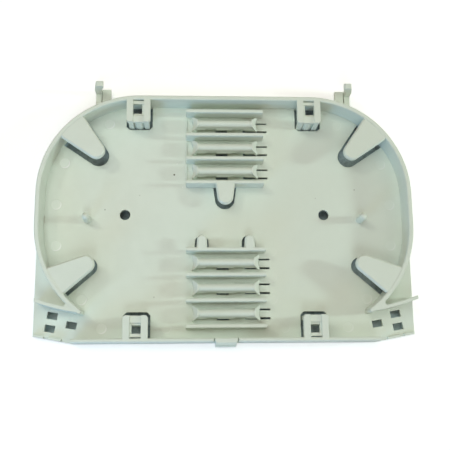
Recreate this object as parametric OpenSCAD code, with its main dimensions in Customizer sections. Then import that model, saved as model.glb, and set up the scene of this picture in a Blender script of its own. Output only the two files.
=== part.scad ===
// Fibre splice tray, one piece moulded in ABS.
// x runs along the long side, y from the cable side to the hinge side, z up.
// The underside of the floor is z = 0.

/* [Which node] */
// node to draw

/* [Tray] */
// width over the side walls at the rim
tray_w = 159.2; // [120:0.1:200]
// rim of the back wall, from the centre line
back_y = 52.4; // [40:0.1:65]
// outer face of the front wall at the rim, from the centre line
front_y = 53.0; // [40:0.1:65]
// floor thickness
floor_t = 1.6; // [1:0.1:3]
// rim above the floor
wall_h = 9.7; // [6:0.1:16]
// thickness of the back and side wall at the rim
wall_t = 1.9; // [1:0.1:3]
// thickness of the front wall at the rim
front_t = 1.5; // [1:0.1:3]
// growth of each wall face from rim to foot
draft = 0.2; // [0:0.05:0.5]
// chamfer on the rim edges
rim_c = 0.3; // [0:0.05:0.6]

/* [Bend guides] */
// radius of the back corners
back_r = 43; // [30:0.5:50]
// radius of the side walls where they turn in to the cable entries
entry_r = 46; // [35:0.5:60]
// y where the side wall starts to turn in
entry_y = -4.2; // [-15:0.1:5]
// angle at which the turned in wall ends
entry_a = 54; // [40:0.5:60]
// radius of the short outer branch of each entry fin
branch_r = 88; // [60:1:120]
// centre of that branch beyond the centre of the side wall's turn
branch_dx = 14.8; // [5:0.1:25]
// centre of the fin tip to the outer face of that branch
branch_tip = 0.37; // [0.2:0.01:0.8]
// thickness of that branch
branch_t = 1.4; // [1:0.1:2]
// end of the left branch inside the outer face of the side wall
branch_in_l = 1.3; // [-1:0.1:5]
// end of the right branch beyond the outer face of the side wall
branch_out_r = 0.1; // [-5:0.1:1]
// radius of the crotch between wall and branch
crotch_r = 1.6; // [0.5:0.1:2]

/* [Cable entries] */
// width of each slanting front corner
corner_w = 16.9; // [10:0.1:30]
// reach of the floor beyond the side walls at the front corners
corner_out = 0.5; // [0.4:0.1:2]
// y of the front corner of the floor at the side
corner_y = -50.1; // [-53:0.1:-45]
// height of the low kerbs along the front corners
kerb_h = 1.5; // [0.5:0.1:3]
// thickness of the kerbs
kerb_t = 1.0; // [0.6:0.1:2]
// tie window length
tie_l = 4.3; // [3:0.1:7]
// tie window width
tie_w = 2.9; // [2:0.1:5]
// turn of the tie windows
tie_a = 10; // [0:1:20]

/* [Sleeve holder] */
// y of the rib nearest the centre
rib_y = 14.57; // [10:0.01:20]
// rib pitch
rib_pitch = 10.66; // [8:0.01:14]
// ribs in each half
rib_n = 4; // [2:1:5]
// rib thickness at the top
rib_t = 1.5; // [1:0.1:2.5]
// rib height above the floor
rib_h = 6.9; // [4:0.1:9]
// half length of a rib
rib_half = 16.75; // [12:0.05:25]
// top of the ridge between two ribs
ridge_h = 6.3; // [4:0.1:8]
// underside of the ridge head
head_z = 2.9; // [1:0.1:4]
// width of the ridge head
head_w = 3.8; // [2.8:0.1:5]
// width of the ridge web
web_w = 1.2; // [0.8:0.1:2]
// half length of the ridge between its forked ends
ridge_half = 12.1; // [8:0.1:16]
// reach of the forked ends
fork_l = 2.2; // [1:0.1:4]
// width over the forked ends
fork_w = 6.4; // [4:0.1:8]
// reach of the barbs beyond the ridge head
barb = 0.3; // [0.2:0.05:1]
// fall of the forks towards their tips
fork_fall = 2.3; // [0:0.1:4]
// distance of the floor slits from the middle of the ridge
slit_y = 1.85; // [1.5:0.05:3]
// height of the low sill along the left ends of the back ribs
sill_h = 0.4; // [0.2:0.1:2]
// thickness of that sill
sill_t = 0.7; // [0.4:0.1:2]

/* [Bend tongues] */
// radius of the tongue tip
tip_r = 3.7; // [2:0.1:5]
// half angle of the tongue
tip_a = 11.1; // [5:0.1:20]
// tip centre to back corner centre
tip_d = 26.0; // [18:0.1:32]
// tongue thickness
tongue_t = 1.9; // [1:0.1:3]
// rim to tongue top
tongue_drop = 0.15; // [0:0.05:1]
// gap round the back and middle tongues in the floor openings below them
tongue_gap = 0.8; // [0.4:0.1:1.5]
// gap round the front tongues in the floor openings below them
front_tongue_gap = 0.1; // [0:0.1:1.5]
// bevel on the tongue edge
tongue_c = 0.6; // [0:0.1:1]
// tip centre of the front tongues beyond the centre of the side wall's turn
front_tip_dx = 24.5; // [20:0.1:28]
// tip centre of the front tongues in front of that centre
front_tip_dy = 16.9; // [12:0.1:22]
// turn of the front tongues
front_tip_a = 30; // [0:1:60]
// tip radius of the middle tongue
mid_tip_r = 3.4; // [2:0.1:5]
// half angle of the middle tongue
mid_a = 8; // [0:1:20]
// tip centre of the middle tongue, y
mid_tip_y = 8.3; // [6:0.1:10]
// tip radius of the two small tongues
small_tip_r = 2.1; // [1:0.1:3]
// half angle of the two small tongues
small_a = 3; // [0:1:20]
// tip centre of the two small tongues, y
small_tip_y = -10.4; // [-12:0.1:-8]
// small tongues from the centre line
small_x = 10.1; // [6:0.1:14]

/* [Cover clips] */
// left clips from the centre line
clip_left_x = 37.3; // [25:0.1:45]
// right clips from the centre line
clip_right_x = 36.6; // [25:0.1:45]
// half width of a clip
clip_half = 5.1; // [4:0.1:7]
// half width between the two rails
clip_bay = 2.3; // [1.5:0.1:3.5]
// reach of the back clips from the wall
clip_back_l = 10.1; // [6:0.1:14]
// reach of the front clips from the wall
clip_front_l = 9.3; // [6:0.1:14]
// rail thickness
clip_t = 2.2; // [1:0.1:4]
// leg thickness
clip_leg = 1.8; // [1:0.1:3]
// step down to the cross bars
clip_step = 0.7; // [0.3:0.1:2]
// thickness of the cross bars
clip_bar_t = 1.4; // [0.6:0.1:2]
// clip openings in the floor from the centre line
clip_open_x = 37.4; // [25:0.1:45]
// half width of a clip opening
clip_open_half = 5.7; // [4:0.1:8]
// reach of the back clip openings from the wall
clip_open_back = 10.5; // [8:0.1:14]
// reach of the front clip openings from the wall
clip_open_front = 11.2; // [8:0.1:14]
// chamfer on the corners of a clip opening
clip_open_c = 1.4; // [0:0.1:3]

/* [Screw holes and pins] */
// screw hole diameter
hole_d = 4.5; // [3:0.1:6]
// screw hole from the centre line
hole_x = 43.1; // [30:0.1:55]
// screw hole, y
hole_y = 1.5; // [-5:0.1:5]
// guide pin diameter
pin_d = 3.2; // [2:0.1:5]
// guide pin from the centre line
pin_x = 59.0; // [50:0.1:70]
// guide pin, y
pin_y = -0.5; // [-5:0.1:5]
// guide pin height above the floor
pin_h = 8.2; // [5:0.1:12]

/* [Hinge lugs] */
// lug beyond the centre of the back corner
lug_dx = 18.9; // [10:0.1:25]
// lug thickness
lug_t = 2.5; // [1.5:0.1:4]
// reach of the lug behind the back wall
lug_out = 6.1; // [4:0.1:10]
// lug post thickness
lug_post = 2.4; // [1.5:0.1:4]
// height of the lug plate above the underside
lug_foot = 2.6; // [1.5:0.1:4]
// top of the lug head above the floor
lug_h = 10.2; // [6:0.1:14]
// lean of the lug head towards the centre
lug_lean = 1.3; // [0:0.1:3]
// width of the lug head
lug_head = 3.4; // [2:0.1:5]
// stop block beyond the centre of the back corner
stop_dx = 15.5; // [8:0.1:22]
// stop block width
stop_w = 3.8; // [2:0.1:6]

/* [Front latch] */
// latch centre
latch_x = -0.3; // [-3:0.1:3]
// width between the two cuts beside the latch
latch_w = 9.8; // [6:0.1:14]
// width of each cut
latch_cut = 0.5; // [0.3:0.1:1]
// depth of the cuts from the rim
latch_deep = 6.5; // [4:0.1:9]
// reach of the latch nose
latch_nose = 1.3; // [0.5:0.1:2]
// reach of the thumb block
latch_block = 2.0; // [1:0.1:3]
// top of the thumb block above the floor
latch_block_h = 5.0; // [3:0.1:8]
// width of the thumb block and of the nose
latch_block_w = 8.4; // [5:0.1:12]

/* [Hidden] */
$fn = 96;
top_z = floor_t + wall_h;
half_w = tray_w / 2;
back_cx = half_w - back_r;
back_cy = back_y - back_r;
entry_cx = half_w - entry_r;
wall_mid = wall_t / 2;
floor_half = half_w + corner_out;
front_half = floor_half - corner_w;
branch_x = entry_cx + branch_dx;
front_tip_x = entry_cx + front_tip_dx;
front_tip_y = entry_y - front_tip_dy;
lug_x = back_cx + lug_dx;
lug_y = back_y + lug_out;
stop_x = back_cx + stop_dx;
plastic = [0.78, 0.82, 0.74];
// what stands on the floor is rooted at half its thickness
base_z = floor_t / 2;
// the foot of the walls stands this far in from the edge of the floor
ledge = 0.12;

// fin tip, in the middle of the turned in wall, and the branch through it
fin_x = entry_cx + (entry_r - wall_mid) * cos(entry_a);
fin_y = entry_y - (entry_r - wall_mid) * sin(entry_a);
branch_y = fin_y + sqrt(pow(branch_r - branch_tip, 2) - pow(fin_x - branch_x, 2));

// crotch centre, where circles inside the branch and outside the wall meet
crotch_r1 = entry_r + 0.7 * crotch_r;
crotch_r2 = branch_r - branch_t - 0.7 * crotch_r;
crotch_dx = branch_x - entry_cx;
crotch_dy = branch_y - entry_y;
crotch_d = sqrt(crotch_dx * crotch_dx + crotch_dy * crotch_dy);
crotch_q = (crotch_r1 * crotch_r1 - crotch_r2 * crotch_r2 + crotch_d * crotch_d) / (2 * crotch_d);
crotch_h = sqrt(crotch_r1 * crotch_r1 - crotch_q * crotch_q);
crotch_x = entry_cx + (crotch_q * crotch_dx + crotch_h * crotch_dy) / crotch_d;
crotch_y = entry_y + (crotch_q * crotch_dy - crotch_h * crotch_dx) / crotch_d;

// section of a wall, outer rim edge on x = 0, growing towards -x
function wall_section(t) = [
    [draft, base_z],
    [0, top_z - rim_c],
    [-rim_c, top_z],
    [-t + rim_c, top_z],
    [-t, top_z - rim_c],
    [-t - draft, base_z]
];

// the section swept round an arc
module wall_arc(r, t, a0, a1) {
    rotate([0, 0, a0])
        rotate_extrude(angle = a1 - a0, $fn = 180)
            translate([r, 0])
                polygon(wall_section(t));
}

// the section swept along a straight, outer face towards -y
module wall_run(len, t) {
    translate([-len / 2, 0, 0])
        rotate([90, 0, 90])
            linear_extrude(len)
                mirror([1, 0])
                    polygon(wall_section(t));
}

// both sides of the tray
module both() {
    children();
    mirror([1, 0, 0])
        children();
}

module floor_outline() {
    edge = draft + ledge;
    for (s = [-1, 1])
        translate([s * back_cx, back_cy])
            circle(back_r + edge, $fn = 180);
    translate([-back_cx, back_cy - 1])
        square([2 * back_cx, back_r + 1 + edge]);
    translate([-half_w - edge, entry_y - 10])
        square([2 * (half_w + edge), back_cy - entry_y + 10]);
    polygon([
        [-floor_half, entry_y - 9],
        [-floor_half, corner_y],
        [-front_half, -front_y - edge],
        [front_half, -front_y - edge],
        [floor_half, corner_y],
        [floor_half, entry_y - 9]
    ]);
}

// a tongue seen from above, tip centre at the origin, root towards -x
module tongue_outline(r, a, len, grow = 0) {
    q = r + grow;
    side = q - 0.02;
    root = side * cos(a) + (len + side * sin(a)) * tan(a);
    circle(q);
    polygon([
        [side * sin(a), side * cos(a)],
        [-len, root],
        [-len, -root],
        [side * sin(a), -side * cos(a)]
    ]);
}

// tongue plate with a bevelled top edge, top face at z = 0
module tongue_plate(r, a, len, t, c) {
    side = r - 0.02;
    root = side * cos(a) + (len + side * sin(a)) * tan(a);
    translate([0, 0, -t])
        cylinder(r = r, h = t - c);
    translate([0, 0, -c])
        cylinder(r1 = r, r2 = r - c, h = c);
    difference() {
        translate([0, 0, -t])
            linear_extrude(t)
                polygon([
                    [side * sin(a), side * cos(a)],
                    [-len, root],
                    [-len, -root],
                    [side * sin(a), -side * cos(a)]
                ]);
        for (s = [0, 1])
            mirror([0, s, 0])
                translate([side * sin(a), side * cos(a), 0])
                    rotate([0, 0, 180 - a])
                        translate([-2, 0, 0])
                            rotate([90, 0, 90])
                                linear_extrude(2 * len)
                                    polygon([[c + 0.1, 0.1], [-1, 0.1], [-1, -c - 1]]);
    }
}

// the corner tongues, two from the back corners and two from the side walls
module at_back_tongues() {
    both()
        translate([back_cx, back_cy, 0])
            rotate([0, 0, 45])
                translate([tip_d, 0, 0])
                    rotate([0, 0, 180])
                        children();
}

module at_front_tongues() {
    both()
        translate([front_tip_x, front_tip_y, 0])
            rotate([0, 0, 180 - front_tip_a])
                children();
}

module at_mid_tongue() {
    translate([0, mid_tip_y, 0])
        rotate([0, 0, -90])
            children();
}

module at_small_tongues() {
    both()
        translate([small_x, small_tip_y, 0])
            rotate([0, 0, 90])
                children();
}

back_tongue_l = back_r - wall_mid - tip_d;
// the front tongues reach the middle of the turned in wall
front_tongue_b = front_tip_dx * cos(front_tip_a) + front_tip_dy * sin(front_tip_a);
front_tongue_q = pow(entry_r - wall_mid, 2) - pow(front_tip_dx, 2) - pow(front_tip_dy, 2);
front_tongue_l = sqrt(pow(front_tongue_b, 2) + front_tongue_q) - front_tongue_b;
mid_tongue_l = rib_y - mid_tip_y;
small_tongue_l = rib_y + small_tip_y;

module tongues() {
    translate([0, 0, top_z - tongue_drop]) {
        at_back_tongues()
            tongue_plate(tip_r, tip_a, back_tongue_l, tongue_t, tongue_c);
        at_front_tongues()
            tongue_plate(tip_r, tip_a, front_tongue_l, tongue_t, tongue_c);
    }
    translate([0, 0, floor_t + rib_h]) {
        at_mid_tongue()
            tongue_plate(mid_tip_r, mid_a, mid_tongue_l, tongue_t, tongue_c);
        at_small_tongues()
            tongue_plate(small_tip_r, small_a, small_tongue_l, tongue_t, tongue_c);
    }
}

// a cover clip, inner face of the wall at y = 0, reaching len towards +y, rim at z = 0
module clip(len) {
    rail_w = clip_half - clip_bay;
    for (s = [0, 1])
        mirror([s, 0, 0]) {
            translate([0, 0, -clip_t])
                linear_extrude(clip_t)
                    polygon([
                        [clip_bay, -0.6],
                        [clip_half, -0.6],
                        [clip_half, len - 0.9],
                        [clip_half - 0.7, len],
                        [clip_bay, len]
                    ]);
            translate([clip_bay, len - clip_leg, -top_z + 0.4])
                cube([rail_w - 0.7, clip_leg - 0.15, top_z - 1]);
        }
    // bars between the rails
    translate([-clip_bay - 0.5, len - 3.1, -clip_step - clip_bar_t])
        cube([2 * clip_bay + 1, 3, clip_bar_t]);
    translate([-clip_bay - 0.5, 0.5, -clip_step - clip_bar_t])
        cube([2 * clip_bay + 1, 1.4, clip_bar_t]);
    // low flange beside the outer rail
    translate([clip_bay - 0.8, 0.4, -clip_step - clip_bar_t])
        cube([1, len - 1, 1]);
    // web between the legs, its free face round
    translate([0, 0, -top_z + 0.4])
        linear_extrude(top_z - clip_step - clip_bar_t / 2 - 0.4)
            intersection() {
                translate([0, len - clip_bay - 0.3])
                    circle(clip_bay + 0.3);
                translate([-clip_bay - 0.2, len - 4])
                    square([2 * clip_bay + 0.4, 5]);
            }
}

module cover_clips() {
    for (x = [-clip_left_x, clip_right_x]) {
        translate([x, back_y - wall_t, top_z])
            mirror([x < 0 ? 1 : 0, 0, 0])
                rotate([0, 0, 180])
                    clip(clip_back_l);
        translate([x, -front_y + front_t, top_z])
            mirror([x < 0 ? 1 : 0, 0, 0])
                clip(clip_front_l);
    }
}

module clip_opening(len) {
    w = clip_open_half;
    polygon([
        [-w, draft], [-w, len - clip_open_c], [-w + clip_open_c, len],
        [w - clip_open_c, len], [w, len - clip_open_c], [w, draft]
    ]);
}

module clip_openings() {
    both() {
        translate([clip_open_x, back_y - wall_t])
            rotate([0, 0, 180])
                clip_opening(clip_open_back);
        translate([clip_open_x, -front_y + front_t])
            clip_opening(clip_open_front);
    }
}

// windows by their place from the front corner of the floor
module tie_windows() {
    both()
        for (p = [[-7.7, 8.5], [-6.8, 3.2], [-15.7, 4.5]])
            translate([floor_half + p[0], corner_y + p[1]])
                rotate([0, 0, tie_a])
                    square([tie_l, tie_w], center = true);
}

module at_ridges() {
    for (s = [-1, 1])
        for (i = [0 : rib_n - 2])
            translate([0, s * (rib_y + (i + 0.5) * rib_pitch), 0])
                children();
}

// cuts in the floor that form the undersides of the barbs and forks
module ridge_slits() {
    translate([-3.8, -slit_y - 0.7])
        square([5.2, 1.3]);
    translate([8.2, -slit_y - 0.45])
        square([10.7, 0.85]);
    translate([8.2, -slit_y])
        square([1, 1]);
    translate([-3.8, slit_y - 0.35])
        square([5.2, 0.7]);
    translate([8.2, slit_y - 0.35])
        square([10.7, 0.7]);
}

module floor_openings() {
    at_back_tongues()
        tongue_outline(tip_r, tip_a, back_tongue_l - 0.8, tongue_gap);
    at_front_tongues()
        tongue_outline(tip_r, tip_a, front_tongue_l - 0.8, front_tongue_gap);
    at_mid_tongue()
        tongue_outline(mid_tip_r, mid_a, mid_tongue_l - rib_t / 2, tongue_gap);
    at_small_tongues()
        tongue_outline(small_tip_r, small_a, small_tongue_l - rib_t / 2, tongue_gap);
    clip_openings();
    tie_windows();
    at_ridges()
        ridge_slits();
    both()
        translate([hole_x, hole_y])
            circle(d = hole_d);
}

module floor_plate() {
    linear_extrude(floor_t)
        difference() {
            floor_outline();
            floor_openings();
        }
}

module walls() {
    difference() {
        union() {
            both() {
                translate([back_cx, back_cy, 0])
                    wall_arc(back_r, wall_t, 0, 90);
                translate([entry_cx, entry_y, 0])
                    mirror([0, 1, 0])
                        wall_arc(entry_r, wall_t, 0, entry_a);
                translate([half_w, (back_cy + entry_y) / 2, 0])
                    rotate([0, 0, 90])
                        wall_run(back_cy - entry_y, wall_t);
            }
            translate([0, back_y, 0])
                rotate([0, 0, 180])
                    wall_run(2 * back_cx, wall_t);
            translate([0, -front_y, 0])
                wall_run(2 * front_half, front_t);
        }
        // cuts beside the latch
        for (s = [-1, 1])
            translate([latch_x + s * latch_w / 2 - latch_cut / 2, -front_y - 1, top_z - latch_deep])
                cube([latch_cut, front_t + 2, latch_deep + 1]);
    }
}

// outer branch, solid wedge back to the crotch and the rounded tip
module fin_outline(branch_end) {
    intersection() {
        translate([branch_x, branch_y])
            difference() {
                circle(branch_r, $fn = 180);
                circle(branch_r - branch_t, $fn = 180);
            }
        translate([fin_x, entry_y - entry_r])
            square([branch_end - fin_x, entry_r / 2]);
    }
    difference() {
        intersection() {
            translate([branch_x, branch_y])
                circle(branch_r - branch_t / 2, $fn = 180);
            translate([fin_x, fin_y - 4])
                square([crotch_x - fin_x, 12]);
        }
        translate([entry_cx, entry_y])
            circle(entry_r - wall_mid, $fn = 180);
        translate([crotch_x, crotch_y])
            circle(crotch_r);
    }
    translate([fin_x, fin_y])
        circle(wall_mid - 0.15);
}

module fins() {
    translate([0, 0, base_z])
        linear_extrude(top_z - base_z - 0.05) {
            fin_outline(half_w + branch_out_r);
            mirror([1, 0])
                fin_outline(half_w - branch_in_l);
        }
}

// kerbs along the front corners of the floor
module kerbs() {
    corner_a = atan2(corner_y + front_y + draft + ledge, floor_half - front_half);
    both()
        translate([front_half, -front_y - draft - ledge, 0])
            rotate([0, 0, corner_a]) {
                translate([5.3, 0.06, floor_t / 2])
                    cube([5.5, kerb_t, floor_t / 2 + kerb_h]);
                translate([12.6, 0.06, floor_t / 2])
                    cube([4.4, kerb_t, floor_t / 2 + kerb_h]);
            }
}

module ribs() {
    for (s = [-1, 1])
        for (i = [0 : rib_n - 1])
            translate([-rib_half, s * (rib_y + i * rib_pitch), 0])
                rotate([90, 0, 90])
                    linear_extrude(2 * rib_half)
                        polygon([
                            [-rib_t / 2 - 0.1, base_z],
                            [-rib_t / 2, floor_t + rib_h - 0.2],
                            [-rib_t / 2 + 0.2, floor_t + rib_h],
                            [rib_t / 2 - 0.2, floor_t + rib_h],
                            [rib_t / 2, floor_t + rib_h - 0.2],
                            [rib_t / 2 + 0.1, base_z]
                        ]);
    // low sill along the left ends of the back ribs
    translate([-rib_half - 0.3, rib_y, base_z])
        cube([sill_t, (rib_n - 1) * rib_pitch, base_z + sill_h]);
}

// section of the ridge head above its underside, round on top
head_rise = ridge_h - head_z;
head_r = 1.65;
module head_section() {
    translate([0, head_rise - head_r])
        circle(head_r, $fn = 48);
    polygon([
        [-head_w / 2, 0],
        [-head_r + 0.08, head_rise - head_r],
        [head_r - 0.08, head_rise - head_r],
        [head_w / 2, 0]
    ]);
}

// section of a barb along the foot of the head
module barb_section() {
    w = head_w + 2 * barb;
    polygon([
        [-w / 2, 0],
        [-w / 2, 0.4],
        [-head_w / 2 + 0.3, 1.4],
        [head_w / 2 - 0.3, 1.4],
        [w / 2, 0.4],
        [w / 2, 0]
    ]);
}

module along_x(x0, x1, z) {
    translate([x0, 0, z])
        rotate([90, 0, 90])
            linear_extrude(x1 - x0)
                children();
}

// forked end of a ridge, reaching towards +x
module fork_outline() {
    polygon([
        [-0.8, -0.6],
        [-0.3, -head_w / 2 + 0.3],
        [fork_l - 0.5, -fork_w / 2],
        [fork_l, -fork_w / 2 + 0.4],
        [fork_l - 0.5, -1.2],
        [fork_l - 0.7, 0],
        [fork_l - 0.5, 1.2],
        [fork_l, fork_w / 2 - 0.4],
        [fork_l - 0.5, fork_w / 2],
        [-0.3, head_w / 2 - 0.3],
        [-0.8, 0.6]
    ]);
}

// fork standing from height z, its top falling from the top of the ridge towards the tips
module fork(z) {
    top = floor_t + ridge_h;
    reach = 4;
    difference() {
        translate([0, 0, z])
            linear_extrude(top - z)
                fork_outline();
        translate([0, 5, top])
            rotate([90, 0, 0])
                linear_extrude(10)
                    polygon([[0, 0], [reach, -fork_fall * reach / fork_l], [reach, 9], [0, 9]]);
    }
}

module ridge() {
    head = floor_t + head_z;
    along_x(-ridge_half, ridge_half, base_z)
        translate([-web_w / 2, 0])
            square([web_w, head - base_z + 0.2]);
    along_x(-ridge_half, ridge_half, head)
        head_section();
    for (b = [[-12.6, -8.6], [-3.7, 3.3], [8.1, 12.6]])
        along_x(b[0], b[1], head)
            barb_section();
    // the left fork stands on the floor, the right one hangs clear of it
    translate([-ridge_half, 0, 0])
        mirror([1, 0, 0])
            fork(base_z);
    translate([ridge_half, 0, 0])
        fork(head);
}

module pins() {
    both()
        translate([pin_x, pin_y, base_z]) {
            cylinder(r1 = pin_d / 2 + 0.15, r2 = pin_d / 2, h = base_z + pin_h - pin_d / 2);
            translate([0, 0, base_z + pin_h - pin_d / 2])
                sphere(d = pin_d);
        }
}

// y inside the wall of the back corner, dx beyond the corner's centre
function corner_wall(dx) = back_cy + sqrt(pow(back_r - wall_t / 4, 2) - dx * dx);

// hinge lugs behind the back corners, each with a low stop block beside it
module hinge_lugs() {
    lug_root = corner_wall(lug_dx);
    stop_root = corner_wall(stop_dx);
    both() {
        // plate
        translate([lug_x - lug_t / 2, lug_root, 0.25])
            cube([lug_t, lug_y - lug_root, lug_foot - 0.25]);
        // post
        translate([lug_x - lug_t / 2, lug_y - lug_post, 0.5])
            cube([lug_t, lug_post, floor_t + lug_h - 5.3]);
        // leaning head
        translate([0, lug_y, 0])
            rotate([90, 0, 0])
                linear_extrude(lug_post)
                    polygon([
                        [lug_x - lug_t / 2, floor_t + lug_h - 5],
                        [lug_x + lug_t / 2, floor_t + lug_h - 5],
                        [lug_x - lug_lean + lug_head / 2, floor_t + lug_h - 0.6],
                        [lug_x - lug_lean + lug_head / 2 - 0.6, floor_t + lug_h],
                        [lug_x - lug_lean - lug_head / 2 + 0.6, floor_t + lug_h],
                        [lug_x - lug_lean - lug_head / 2, floor_t + lug_h - 0.6],
                        [lug_x - lug_lean - lug_head / 2 + 0.2, floor_t + lug_h - 2]
                    ]);
        // stop block
        translate([stop_x - stop_w / 2, stop_root, 0.35])
            cube([stop_w, lug_y - 0.1 - stop_root, floor_t + 0.45]);
    }
}

// snap at the middle of the front wall
module latch() {
    y0 = -front_y;
    translate([latch_x - latch_block_w / 2, 0, 0]) {
        rotate([90, 0, 90])
            linear_extrude(latch_block_w)
                polygon([
                    [y0 + 0.5, 0.25],
                    [y0 - latch_block, 0.25],
                    [y0 - latch_block, floor_t + latch_block_h - 0.6],
                    [y0 - latch_block + 0.4, floor_t + latch_block_h],
                    [y0 + 0.5, floor_t + latch_block_h]
                ]);
        rotate([90, 0, 90])
            linear_extrude(latch_block_w)
                polygon([
                    [y0 + 0.6, top_z - 2.4],
                    [y0 - 0.2, top_z - 2.4],
                    [y0 - latch_nose, top_z - 1.5],
                    [y0 - latch_nose, top_z - 0.8],
                    [y0 - 0.4, top_z],
                    [y0 + 0.6, top_z]
                ]);
    }
}

module splice_tray() {
    color(plastic) {
        floor_plate();
        walls();
        fins();
        kerbs();
        ribs();
        at_ridges()
            ridge();
        tongues();
        cover_clips();
        pins();
        hinge_lugs();
        latch();
    }
}

splice_tray();
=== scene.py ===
import math
import bpy
import numpy as np
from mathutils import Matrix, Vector


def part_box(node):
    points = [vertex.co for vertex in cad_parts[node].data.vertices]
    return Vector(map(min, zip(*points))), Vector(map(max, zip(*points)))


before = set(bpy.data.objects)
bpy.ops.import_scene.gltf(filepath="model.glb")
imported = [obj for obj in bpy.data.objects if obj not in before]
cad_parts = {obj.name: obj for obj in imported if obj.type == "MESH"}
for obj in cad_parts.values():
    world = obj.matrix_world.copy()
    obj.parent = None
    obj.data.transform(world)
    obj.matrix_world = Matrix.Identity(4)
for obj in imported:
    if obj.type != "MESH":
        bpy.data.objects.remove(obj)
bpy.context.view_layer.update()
trayLow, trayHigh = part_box("splice_tray")
mm = 0.001  # in metres
print("frame loaded:", sorted(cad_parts))


cameraSetup = {
    "place": (-14.84, -63.26, 298.0),   # mm from the tray's origin
    "turn": (11.521, -2.759, -0.536),   # degrees about X, Y, Z
    "lens": 56,
    "sensor": 36,
    "paintedLight": 0.01,                       # m
    "far": 20,
}


def makeCamera(setup):
    data = bpy.data.cameras.new("camera")
    data.lens = setup["lens"]
    data.sensor_width = setup["sensor"]
    data.clip_start = setup["paintedLight"]
    data.clip_end = setup["far"]
    camera = bpy.data.objects.new("camera", data)
    camera.location = [v * mm for v in setup["place"]]
    camera.rotation_euler = [math.radians(v) for v in setup["turn"]]
    bpy.context.scene.collection.objects.link(camera)
    bpy.context.scene.camera = camera


makeCamera(cameraSetup)
print("camera ready")


# each lamp aims at the middle of the tray; way and height are in degrees, way 0 is +X and 90 is +Y,
# far and size are in metres
lamps = {
    "overhead": {"way": 130, "height": 77, "far": 1.5, "size": 0.8, "level": 0.21, "color": (0.9, 1, 0.93)},
    "window": {"way": 144, "height": 50, "far": 1.5, "size": 0.26, "level": 0.11, "color": (0.92, 1, 0.82)},
    "coolNear": {"way": 230, "height": 14, "far": 0.42, "size": 0.17, "level": 0.32, "color": (0.26, 0.62, 1)},
    "warmSide": {"way": 1, "height": 22, "far": 0.9, "size": 0.09, "level": 0.28, "color": (0.78, 1, 0.94)},
    "right": {"way": 0, "height": 50, "far": 1.5, "size": 0.5, "level": 0.05, "color": (0.92, 1, 0.74)},
    "front": {"way": 268, "height": 55, "far": 1.5, "size": 0.5, "level": 0.13, "color": (0.78, 0.97, 1)},
}
# soft light from all round, which the camera sees as white
worldSetup = {
    "level": 0.28,
    "color": (1.0, 0.76, 0.66),
}


def makeLamp(name, setup):
    data = bpy.data.lights.new(name, "AREA")
    data.shape = "DISK"
    data.size = setup["size"]
    data.color = setup["color"]
    # level 1 lights a face turned to the lamp so that it shows its own colour
    data.energy = setup["level"] * (math.pi * setup["far"]) ** 2
    lamp = bpy.data.objects.new(name, data)
    way = math.radians(setup["way"])
    height = math.radians(setup["height"])
    reach = Vector((math.cos(way) * math.cos(height), math.sin(way) * math.cos(height), math.sin(height)))
    lamp.location = reach * setup["far"]
    lamp.rotation_mode = "QUATERNION"
    lamp.rotation_quaternion = reach.to_track_quat("Z", "Y")
    bpy.context.scene.collection.objects.link(lamp)


def makeWorld(setup):
    world = bpy.data.worlds.new("studio")
    bpy.context.scene.world = world
    world.use_nodes = True
    tree = world.node_tree
    tree.nodes.clear()
    out = tree.nodes.new("ShaderNodeOutputWorld")
    soft = tree.nodes.new("ShaderNodeBackground")
    soft.inputs["Color"].default_value = (*setup["color"], 1)
    soft.inputs["Strength"].default_value = setup["level"]
    white = tree.nodes.new("ShaderNodeBackground")
    white.inputs["Color"].default_value = (1, 1, 1, 1)
    path = tree.nodes.new("ShaderNodeLightPath")
    seen = tree.nodes.new("ShaderNodeMixShader")
    tree.links.new(path.outputs["Is Camera Ray"], seen.inputs["Fac"])
    tree.links.new(soft.outputs[0], seen.inputs[1])
    tree.links.new(white.outputs[0], seen.inputs[2])
    tree.links.new(seen.outputs[0], out.inputs["Surface"])


for lampName, lampSetup in lamps.items():
    makeLamp(lampName, lampSetup)
makeWorld(worldSetup)
bpy.context.scene.view_settings.view_transform = "Standard"
print("light ready")


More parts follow.
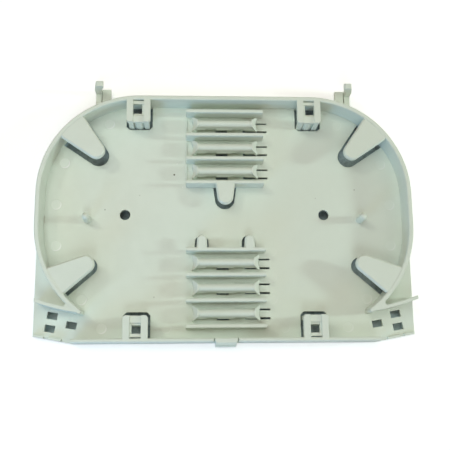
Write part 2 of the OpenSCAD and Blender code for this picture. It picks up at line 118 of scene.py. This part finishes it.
# a material and short ways to add its nodes; sizes are in mm
class Shade:
    def __init__(self, name):
        self.material = bpy.data.materials.new(name)
        self.material.use_nodes = True
        self.tree = self.material.node_tree
        self.tree.nodes.clear()
        self.out = self.tree.nodes.new("ShaderNodeOutputMaterial")
        self.place = self.tree.nodes.new("ShaderNodeTexCoord").outputs["Object"]

    def add(self, kind, **links):
        node = self.tree.nodes.new("ShaderNode" + kind)
        for key, value in links.items():
            self.set(node.inputs[key.replace("_", " ")], value)
        return node

    def set(self, socket, value):
        if isinstance(value, bpy.types.NodeSocket):
            self.tree.links.new(value, socket)
        elif isinstance(value, tuple) and len(value) == 3 and socket.type == "RGBA":
            socket.default_value = (*value, 1)
        else:
            socket.default_value = value

    def math(self, operation, *values):
        node = self.add("Math")
        node.operation = operation
        for socket, value in zip(node.inputs, values):
            self.set(socket, value)
        return node.outputs[0]

    # noise from 0 to 1 with blobs about size mm across
    def noise(self, size, detail=2.0, rough=0.5):
        node = self.add("TexNoise", Vector=self.place)
        node.inputs["Scale"].default_value = 1 / (size * mm)
        node.inputs["Detail"].default_value = detail
        node.inputs["Roughness"].default_value = rough
        return node.outputs[0]

    # takes low..high smoothly to start..end
    def ramp(self, value, low, high, start=0.0, end=1.0):
        node = self.add("MapRange", Value=value)
        node.interpolation_type = "SMOOTHSTEP"
        for key, number in zip(("From Min", "From Max", "To Min", "To Max"), (low, high, start, end)):
            self.set(node.inputs[key], number)
        return node.outputs[0]

    def mix(self, share, first, second):
        node = self.add("Mix")
        node.data_type = "RGBA"
        self.set(node.inputs["Factor"], share)
        self.set(node.inputs[6], first)
        self.set(node.inputs[7], second)
        return node.outputs[2]

    # distance in plan from the upright line through x, y, in metres
    def distance(self, x, y):
        flat = self.add("VectorMath", Vector=self.place)
        flat.operation = "MULTIPLY"
        flat.inputs[1].default_value = (1, 1, 0)
        node = self.add("VectorMath")
        node.operation = "DISTANCE"
        self.set(node.inputs[0], flat.outputs[0])
        self.set(node.inputs[1], (x * mm, y * mm, 0))
        return node.outputs["Value"]


plastic = {
    "color": (0.75, 0.81, 0.725),
    "pale": (0.79, 0.84, 0.77),
    "dull": (0.67, 0.72, 0.64),
    "roughLow": 0.31,         # from the smooth to the dull spots of the mottle
    "roughHigh": 0.39,
    "ior": 1.5,
    "edge": 0.35,             # mm, soft edges
    "cloudSize": 38,          # mm, slow clouding from the melt
    "cloudShare": 0.35,
    "mottleSize": 3.2,        # mm
    "mottleShare": 0.10,
    "grainSize": 0.35,        # mm, fine moulded texture
    "grainHeight": 0.012,
    "waveSize": 9,            # mm, long waves in the moulded face
    "waveHeight": 0.10,
    "bump": 0.6,
    "floorTop": 1.6,          # mm, the marks, specks and painted highlights stay below this height
    "dustSpacing": 11,        # mm
    "dustPatch": 14,          # mm, patches that have dust and patches that have none
    "dustShare": 0.5,
    "dust": (0.25, 0.25, 0.18),
    "markRadius": 2.25,       # mm, ejector pin marks
    "markEdge": 0.2,          # mm
    "markTone": 0.6,
    "markDepth": 0.12,        # mm, as the bump sees it
    "mark": (0.88, 0.93, 0.87),
    "paintedGlintWidth": 0.45,       # mm, width of the painted highlight crescent at each mark
    # colour of the painted highlight at the marks
    "paintedGlint": (1.0, 1.0, 1.0),
    # dark specks, and pale spots of painted highlight: x, y and radius in mm, strength, color
    "specksAndGlints": [
        (-22.0, 19.5, 0.50, 1.0, (0.10, 0.09, 0.05)),
        (57.2, 12.9, 0.40, 0.5, (0.22, 0.22, 0.16)),
        (39.8, 9.0, 0.35, 0.3, (0.25, 0.25, 0.20)),
        (-30.3, -34.0, 0.40, 0.4, (0.25, 0.25, 0.20)),
        (-51.7, 3.8, 0.45, 0.5, (0.20, 0.21, 0.16)),
        (-36.9, 10.2, 0.35, 0.35, (0.25, 0.25, 0.20)),
        # the two pale ones are painted highlights, not specks
        (-20.8, 24.4, 0.32, 0.8, (0.95, 0.97, 0.92)),
        (-18.3, 13.9, 0.30, 0.6, (0.95, 0.97, 0.92)),
    ],
    # ejector pin marks, in pairs: x and y in mm, and how clearly the left and the right one show, both in the
    # paler disc and in its painted highlight
    "pins": [
        (69.5, 24.5, 1.0, 0.5),
        (72.5, 6.0, 0.8, 0.5),
        (72.0, -12.0, 0.8, 0.5),
        (60.5, -35.0, 0.75, 0.6),
        (52.0, -47.0, 0.75, 0.55),
        (50.5, 42.5, 0.7, 0.3),
        (25.0, -47.0, 0.45, 0.35),
        (20.0, 24.5, 0.2, 0.3),
        (20.0, 36.0, 0.1, 0.25),
        (20.0, -14.5, 0.2, 0.25),
        (20.0, -25.5, 0.2, 0.25),
        (20.0, -35.0, 0.35, 0.3),
    ],
}


def plasticMaterial(setup):
    s = Shade("moulded_plastic")
    # slow clouding from the melt, and a finer mottle over it
    cloud = s.ramp(s.noise(setup["cloudSize"], 3.0, 0.55), 0.32, 0.68)
    mottle = s.ramp(s.noise(setup["mottleSize"], 3.0, 0.6), 0.3, 0.7)
    color = s.mix(s.math("MULTIPLY", cloud, setup["cloudShare"]), setup["color"], setup["pale"])
    color = s.mix(s.math("MULTIPLY", mottle, setup["mottleShare"]), color, setup["dull"])

    # ejector pin marks: a shallow sunk disc a shade paler than the floor, and a painted highlight:
    # the same disc moved back and to the left leaves a crescent that is painted white as if it caught the
    # light
    floorTop = setup["floorTop"] * mm
    height = s.add("SeparateXYZ", Vector=s.place).outputs["Z"]
    onFloor = s.ramp(height, floorTop + 0.1 * mm, floorTop + 0.06 * mm)
    shift = setup["paintedGlintWidth"]
    low = (setup["markRadius"] - setup["markEdge"]) * mm
    high = (setup["markRadius"] + setup["markEdge"]) * mm
    disc = 0.0
    paintedGlint = 0.0
    leftPins = [(-x, y, left) for x, y, left, right in setup["pins"]]
    rightPins = [(x, y, right) for x, y, left, right in setup["pins"]]
    for x, y, strength in leftPins + rightPins:
        inside = s.ramp(s.distance(x, y), low, high, strength, 0.0)
        moved = s.ramp(s.distance(x - shift, y + shift), low, high, strength, 0.0)
        disc = s.math("ADD", disc, inside)
        paintedGlint = s.math("ADD", paintedGlint, s.math("MAXIMUM", s.math("SUBTRACT", inside, moved), 0.0))
    disc = s.math("MULTIPLY", disc, onFloor)
    paintedGlint = s.math("MULTIPLY", s.math("MULTIPLY", paintedGlint, paintedGlint), onFloor)
    pale = s.math("MULTIPLY", disc, disc)
    color = s.mix(s.math("MULTIPLY", pale, setup["markTone"]), color, setup["mark"])
    # painted highlight: the white crescent at each mark
    color = s.mix(paintedGlint, color, setup["paintedGlint"])

    # specks pressed into the floor, darker than it, and pale spots of painted highlight
    for x, y, radius, share, tone in setup["specksAndGlints"]:
        spot = s.ramp(s.distance(x, y), radius * 0.5 * mm, radius * mm, share, 0.0)
        color = s.mix(s.math("MULTIPLY", spot, onFloor), color, tone)

    # scattered dust
    cells = s.add("TexVoronoi", Vector=s.place)
    cells.inputs["Scale"].default_value = 1 / (setup["dustSpacing"] * mm)
    cells.inputs["Randomness"].default_value = 1.0
    speck = s.ramp(cells.outputs["Distance"], 0.022, 0.05, 1.0, 0.0)
    rare = s.ramp(s.noise(setup["dustPatch"], 0.0), 0.55, 0.62)
    speck = s.math("MULTIPLY", speck, rare)
    color = s.mix(s.math("MULTIPLY", speck, setup["dustShare"]), color, setup["dust"])

    # fine moulded texture over long waves, sunk at the marks
    grain = s.math("MULTIPLY", s.noise(setup["grainSize"], 2.0, 0.6), setup["grainHeight"])
    wave = s.math("MULTIPLY", s.noise(setup["waveSize"], 2.0, 0.5), setup["waveHeight"])
    relief = s.math("SUBTRACT", s.math("ADD", grain, wave), s.math("MULTIPLY", disc, setup["markDepth"]))
    bump = s.add("Bump", Height=relief)
    bump.inputs["Distance"].default_value = mm
    bump.inputs["Strength"].default_value = setup["bump"]
    rounded = s.add("Bevel")
    rounded.samples = 4
    rounded.inputs["Radius"].default_value = setup["edge"] * mm
    s.tree.links.new(rounded.outputs[0], bump.inputs["Normal"])

    rough = s.ramp(mottle, 0.0, 1.0, setup["roughLow"], setup["roughHigh"])
    body = s.add("BsdfPrincipled", Base_Color=color, Roughness=rough, Normal=bump.outputs[0])
    body.inputs["IOR"].default_value = setup["ior"]
    s.tree.links.new(body.outputs[0], s.out.inputs["Surface"])
    return s.material


def dress(node, material):
    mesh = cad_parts[node].data
    mesh.materials.clear()
    mesh.materials.append(material)


dress("splice_tray", plasticMaterial(plastic))
print("plastic ready")


floorSetup = {
    "half": 3.0,              # m, reach of the sheet
    "rings": (1, 1.5, 4),     # inner rings of the sheet, times the recess's edge
    "points": 241,            # round each ring, with the first one again at the end
    "below": 0.0004,          # m under the tray
    "color": (0.90, 0.90, 0.895),
    "mottle": (0.86, 0.86, 0.86),
    "mottleSize": 60,         # mm
    "mottleShare": 0.03,
    "lift": 0.4,              # brings the lit sheet up to white for the camera
    "farLift": 1.0,           # the same, far from the lamps
    "liftFrom": 0.25,         # m from the middle, where the lift starts to grow
    "liftTo": 1.2,
}


# a grid surface: point (row, column) is at x, y and z of that row and column, and each cell
# between two rows and two columns is one face
def surface(name, x, y, z, material):
    rows, columns = x.shape
    points = np.stack([x, y, z], -1).reshape(-1, 3)
    corner = (np.arange(rows - 1)[:, None] * columns + np.arange(columns - 1)[None, :]).ravel()
    faces = np.stack([corner, corner + 1, corner + columns + 1, corner + columns], -1)
    mesh = bpy.data.meshes.new(name)
    mesh.from_pydata(points.tolist(), [], faces.tolist())
    mesh.materials.append(material)
    piece = bpy.data.objects.new(name, mesh)
    bpy.context.scene.collection.objects.link(piece)
    return piece


def floorMaterial(setup):
    s = Shade("pale_sheet")
    share = s.math("MULTIPLY", s.noise(setup["mottleSize"], 2.0), setup["mottleShare"])
    tint = s.mix(share, setup["color"], setup["mottle"])
    body = s.add("BsdfDiffuse", Color=tint)
    glow = s.add("Emission", Color=(1.0, 1.0, 1.0))
    path = s.add("LightPath")
    away = s.distance(0, 0)
    lift = s.ramp(away, setup["liftFrom"], setup["liftTo"], setup["lift"], setup["farLift"])
    seen = s.math("MULTIPLY", path.outputs["Is Camera Ray"], lift)
    s.set(glow.inputs["Strength"], seen)
    both = s.add("AddShader")
    s.tree.links.new(body.outputs[0], both.inputs[0])
    s.tree.links.new(glow.outputs[0], both.inputs[1])
    s.tree.links.new(both.outputs[0], s.out.inputs["Surface"])
    return s.material


# the tray's outline in plan, mm, for the edge of the floor below it
outline = {
    "backRadius": 43,         # back corners
    "backWall": 52.4,         # back wall from the middle
    "front": 53.1,            # front edge from the middle
    "cornerWidth": 16.9,      # slanting front corners
    "cornerRise": 3.0,
}
# the sheet in the well under the tray, seen only through its openings: its grey is painted shade
recess = {
    "inset": 1.2,             # mm inside the tray's outline
    "depth": 5.0,             # mm
    "color": (0.52, 0.62, 0.66),
    "dark": (0.38, 0.46, 0.50),
    "fluffSize": 1.4,         # mm
    "paintedLightAt": (69, -47),      # mm, painted pool of light below the tie windows
    "paintedLightFrom": 10,           # mm, the painted light is full up to here and gone at the next distance
    "paintedLightTo": 15,
    "paintedLightShare": 0.9,
    # colour of the painted light
    "pale": (0.86, 0.99, 1.0),
}


def outlineReach(way, inset):
    # distance from the middle to the outline in each direction: the nearest of the side,
    # back, front and slanting lines, and the corner circle where that comes first
    half = trayHigh.x / mm - inset
    radius = outline["backRadius"]
    across, along = np.abs(np.cos(way)), np.sin(way)
    centreX = half - radius
    centreY = outline["backWall"] - inset - radius
    slope = outline["cornerRise"] / outline["cornerWidth"]
    slant = outline["front"] - inset + slope * (half - outline["cornerWidth"])
    reach = np.minimum.reduce([
        half / np.maximum(across, 1e-6),
        (outline["backWall"] - inset) / np.maximum(along, 1e-6),
        (outline["front"] - inset) / np.maximum(-along, 1e-6),
        slant / np.maximum(slope * across - along, 1e-6),
    ])
    toward = across * centreX + along * centreY
    corner = (reach * across > centreX) & (reach * along > centreY)
    circle = toward + np.sqrt(np.maximum(toward ** 2 - centreX ** 2 - centreY ** 2 + radius ** 2, 0))
    return np.where(corner, circle, reach)


def recessMaterial(setup):
    s = Shade("recess_painted_shade_and_light")
    # painted shade: a grey sheet, darker than the plastic, with a fluffy mottle
    fluff = s.ramp(s.noise(setup["fluffSize"], 3.0, 0.6), 0.35, 0.75)
    tone = s.mix(fluff, setup["color"], setup["dark"])
    x, y = setup["paintedLightAt"]
    # painted pools of light below the two tie windows
    for side in (-1, 1):
        away = s.distance(side * x, y)
        paintedLight = s.ramp(away, setup["paintedLightFrom"] * mm, setup["paintedLightTo"] * mm, setup["paintedLightShare"], 0.0)
        tone = s.mix(paintedLight, tone, setup["pale"])
    body = s.add("BsdfDiffuse", Color=tone)
    s.tree.links.new(body.outputs[0], s.out.inputs["Surface"])
    return s.material


def makeFloor(setup, hollow):
    # rings round the middle of the tray: the sheet runs from the edge of the recess outwards,
    # the recess from that edge down and in to its middle
    way = np.linspace(0, 2 * np.pi, setup["points"])
    edge = outlineReach(way, hollow["inset"]) * mm
    top = trayLow.z - setup["below"]
    bottom = top - hollow["depth"] * mm
    outer = np.stack([edge * ring for ring in setup["rings"]] + [np.full_like(edge, setup["half"])])
    flat = np.full_like(outer, top)
    sheet = surface("floor_sheet", outer * np.cos(way), outer * np.sin(way), flat, floorMaterial(setup))
    inner = np.stack([edge * 0.001, edge * 0.5, edge, edge])
    level = np.array([bottom, bottom, bottom, top])[:, None] * np.ones_like(edge)
    well = surface("recess", inner * np.cos(way), inner * np.sin(way), level, recessMaterial(hollow))


makeFloor(floorSetup, recess)
print("floor ready")
